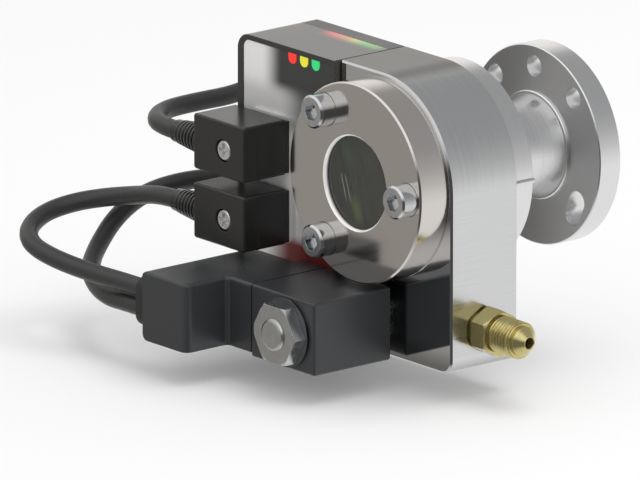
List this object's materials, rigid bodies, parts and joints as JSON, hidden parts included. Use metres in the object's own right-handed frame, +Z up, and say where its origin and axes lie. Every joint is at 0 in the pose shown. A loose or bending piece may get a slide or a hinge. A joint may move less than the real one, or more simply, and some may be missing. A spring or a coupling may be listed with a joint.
{
  "type": "oil level regulator",
  "caption": "Oil level regulator: bored block with sight glass, float switch, solenoid oil valve, electronics module, flare inlet and necked bolt flange.",
  "frame": {"origin": "centre of the bolt flange's rear sealing face", "axes": "+Y out of the flange's sealing face towards the compressor, +Z up, +X towards the brass oil inlet"},
  "size_m": [0.1695, 0.1176, 0.085],
  "materials": {
    "machined_aluminium": "finely turned and milled, bright chamfers",
    "zinc_steel": "zinc plated, satin",
    "spring_steel": "drawn wire",
    "brass": "turned, bright",
    "sight_glass": "clear, polished",
    "rubber": "black, smooth",
    "cable_sheath": "black flexible sheath, slightly glossy",
    "smoke_housing": "dark smoke, glossy",
    "front_foil": "glossy printed front, pale with dark fields",
    "black_plastic": "black, fine grained",
    "white_plastic": "white float and levers",
    "board_green": "green circuit board",
    "lens_red": "lit red",
    "lens_yellow": "lit yellow",
    "lens_green": "lit green"
  },
  "bodies": {
    "regulator": {"mounting_adapter": "machined_aluminium", "adapter_oring": "rubber", "flange_oring": "rubber", "valve_block": "machined_aluminium", "sight_flange": "machined_aluminium", "glass_gasket": "rubber", "sight_glass": "sight_glass", "glass_oring": "rubber", "flange_screws": "zinc_steel", "float_bracket": "zinc_steel", "float_pin": "zinc_steel", "level_sensor": "black_plastic", "module_housing": "smoke_housing", "module_cover": "black_plastic", "front_panel": "front_foil", "light_red": "lens_red", "light_yellow": "lens_yellow", "light_green": "lens_green", "circuit_board": "board_green", "cover_screws": "zinc_steel", "side_screws": "zinc_steel", "cable_upper": "cable_sheath", "cable_lower": "cable_sheath", "armature_tube": "zinc_steel", "tube_oring": "rubber", "pole_piece": "zinc_steel", "plunger_spring": "spring_steel", "valve_seat": "brass", "coil_housing": "black_plastic", "coil_connector": "black_plastic", "cable_grommet": "rubber", "coil_washer": "zinc_steel", "coil_nut": "zinc_steel", "inlet_fitting": "brass", "inlet_seal": "rubber", "inlet_strainer": "brass", "socket_upper": "black_plastic", "plug_upper": "black_plastic", "plug_screw_upper": "zinc_steel", "relief_upper": "black_plastic", "socket_lower": "black_plastic", "plug_lower": "black_plastic", "plug_screw_lower": "zinc_steel", "relief_lower": "black_plastic"},
    "plunger_unit": {"plunger": "zinc_steel", "valve_seal": "rubber"},
    "float_unit": {"float_arm": "white_plastic", "float_body": "white_plastic", "float_magnet": "zinc_steel"}
  },
  "joints": [
    {"name": "plunger_slide", "type": "slide", "parent": "regulator", "child": "plunger_unit", "axis": [0, -1, 0], "range_m": [0, 0.0012], "stiffness_N_per_m": 300, "springref_m": -0.003, "deforming": ["plunger_spring"]},
    {"name": "float_swing", "type": "hinge", "parent": "regulator", "child": "float_unit", "pos_m": [0, -0.0445, 0], "axis": [-1, 0, 0], "range_deg": [0, 45]}
  ]
}
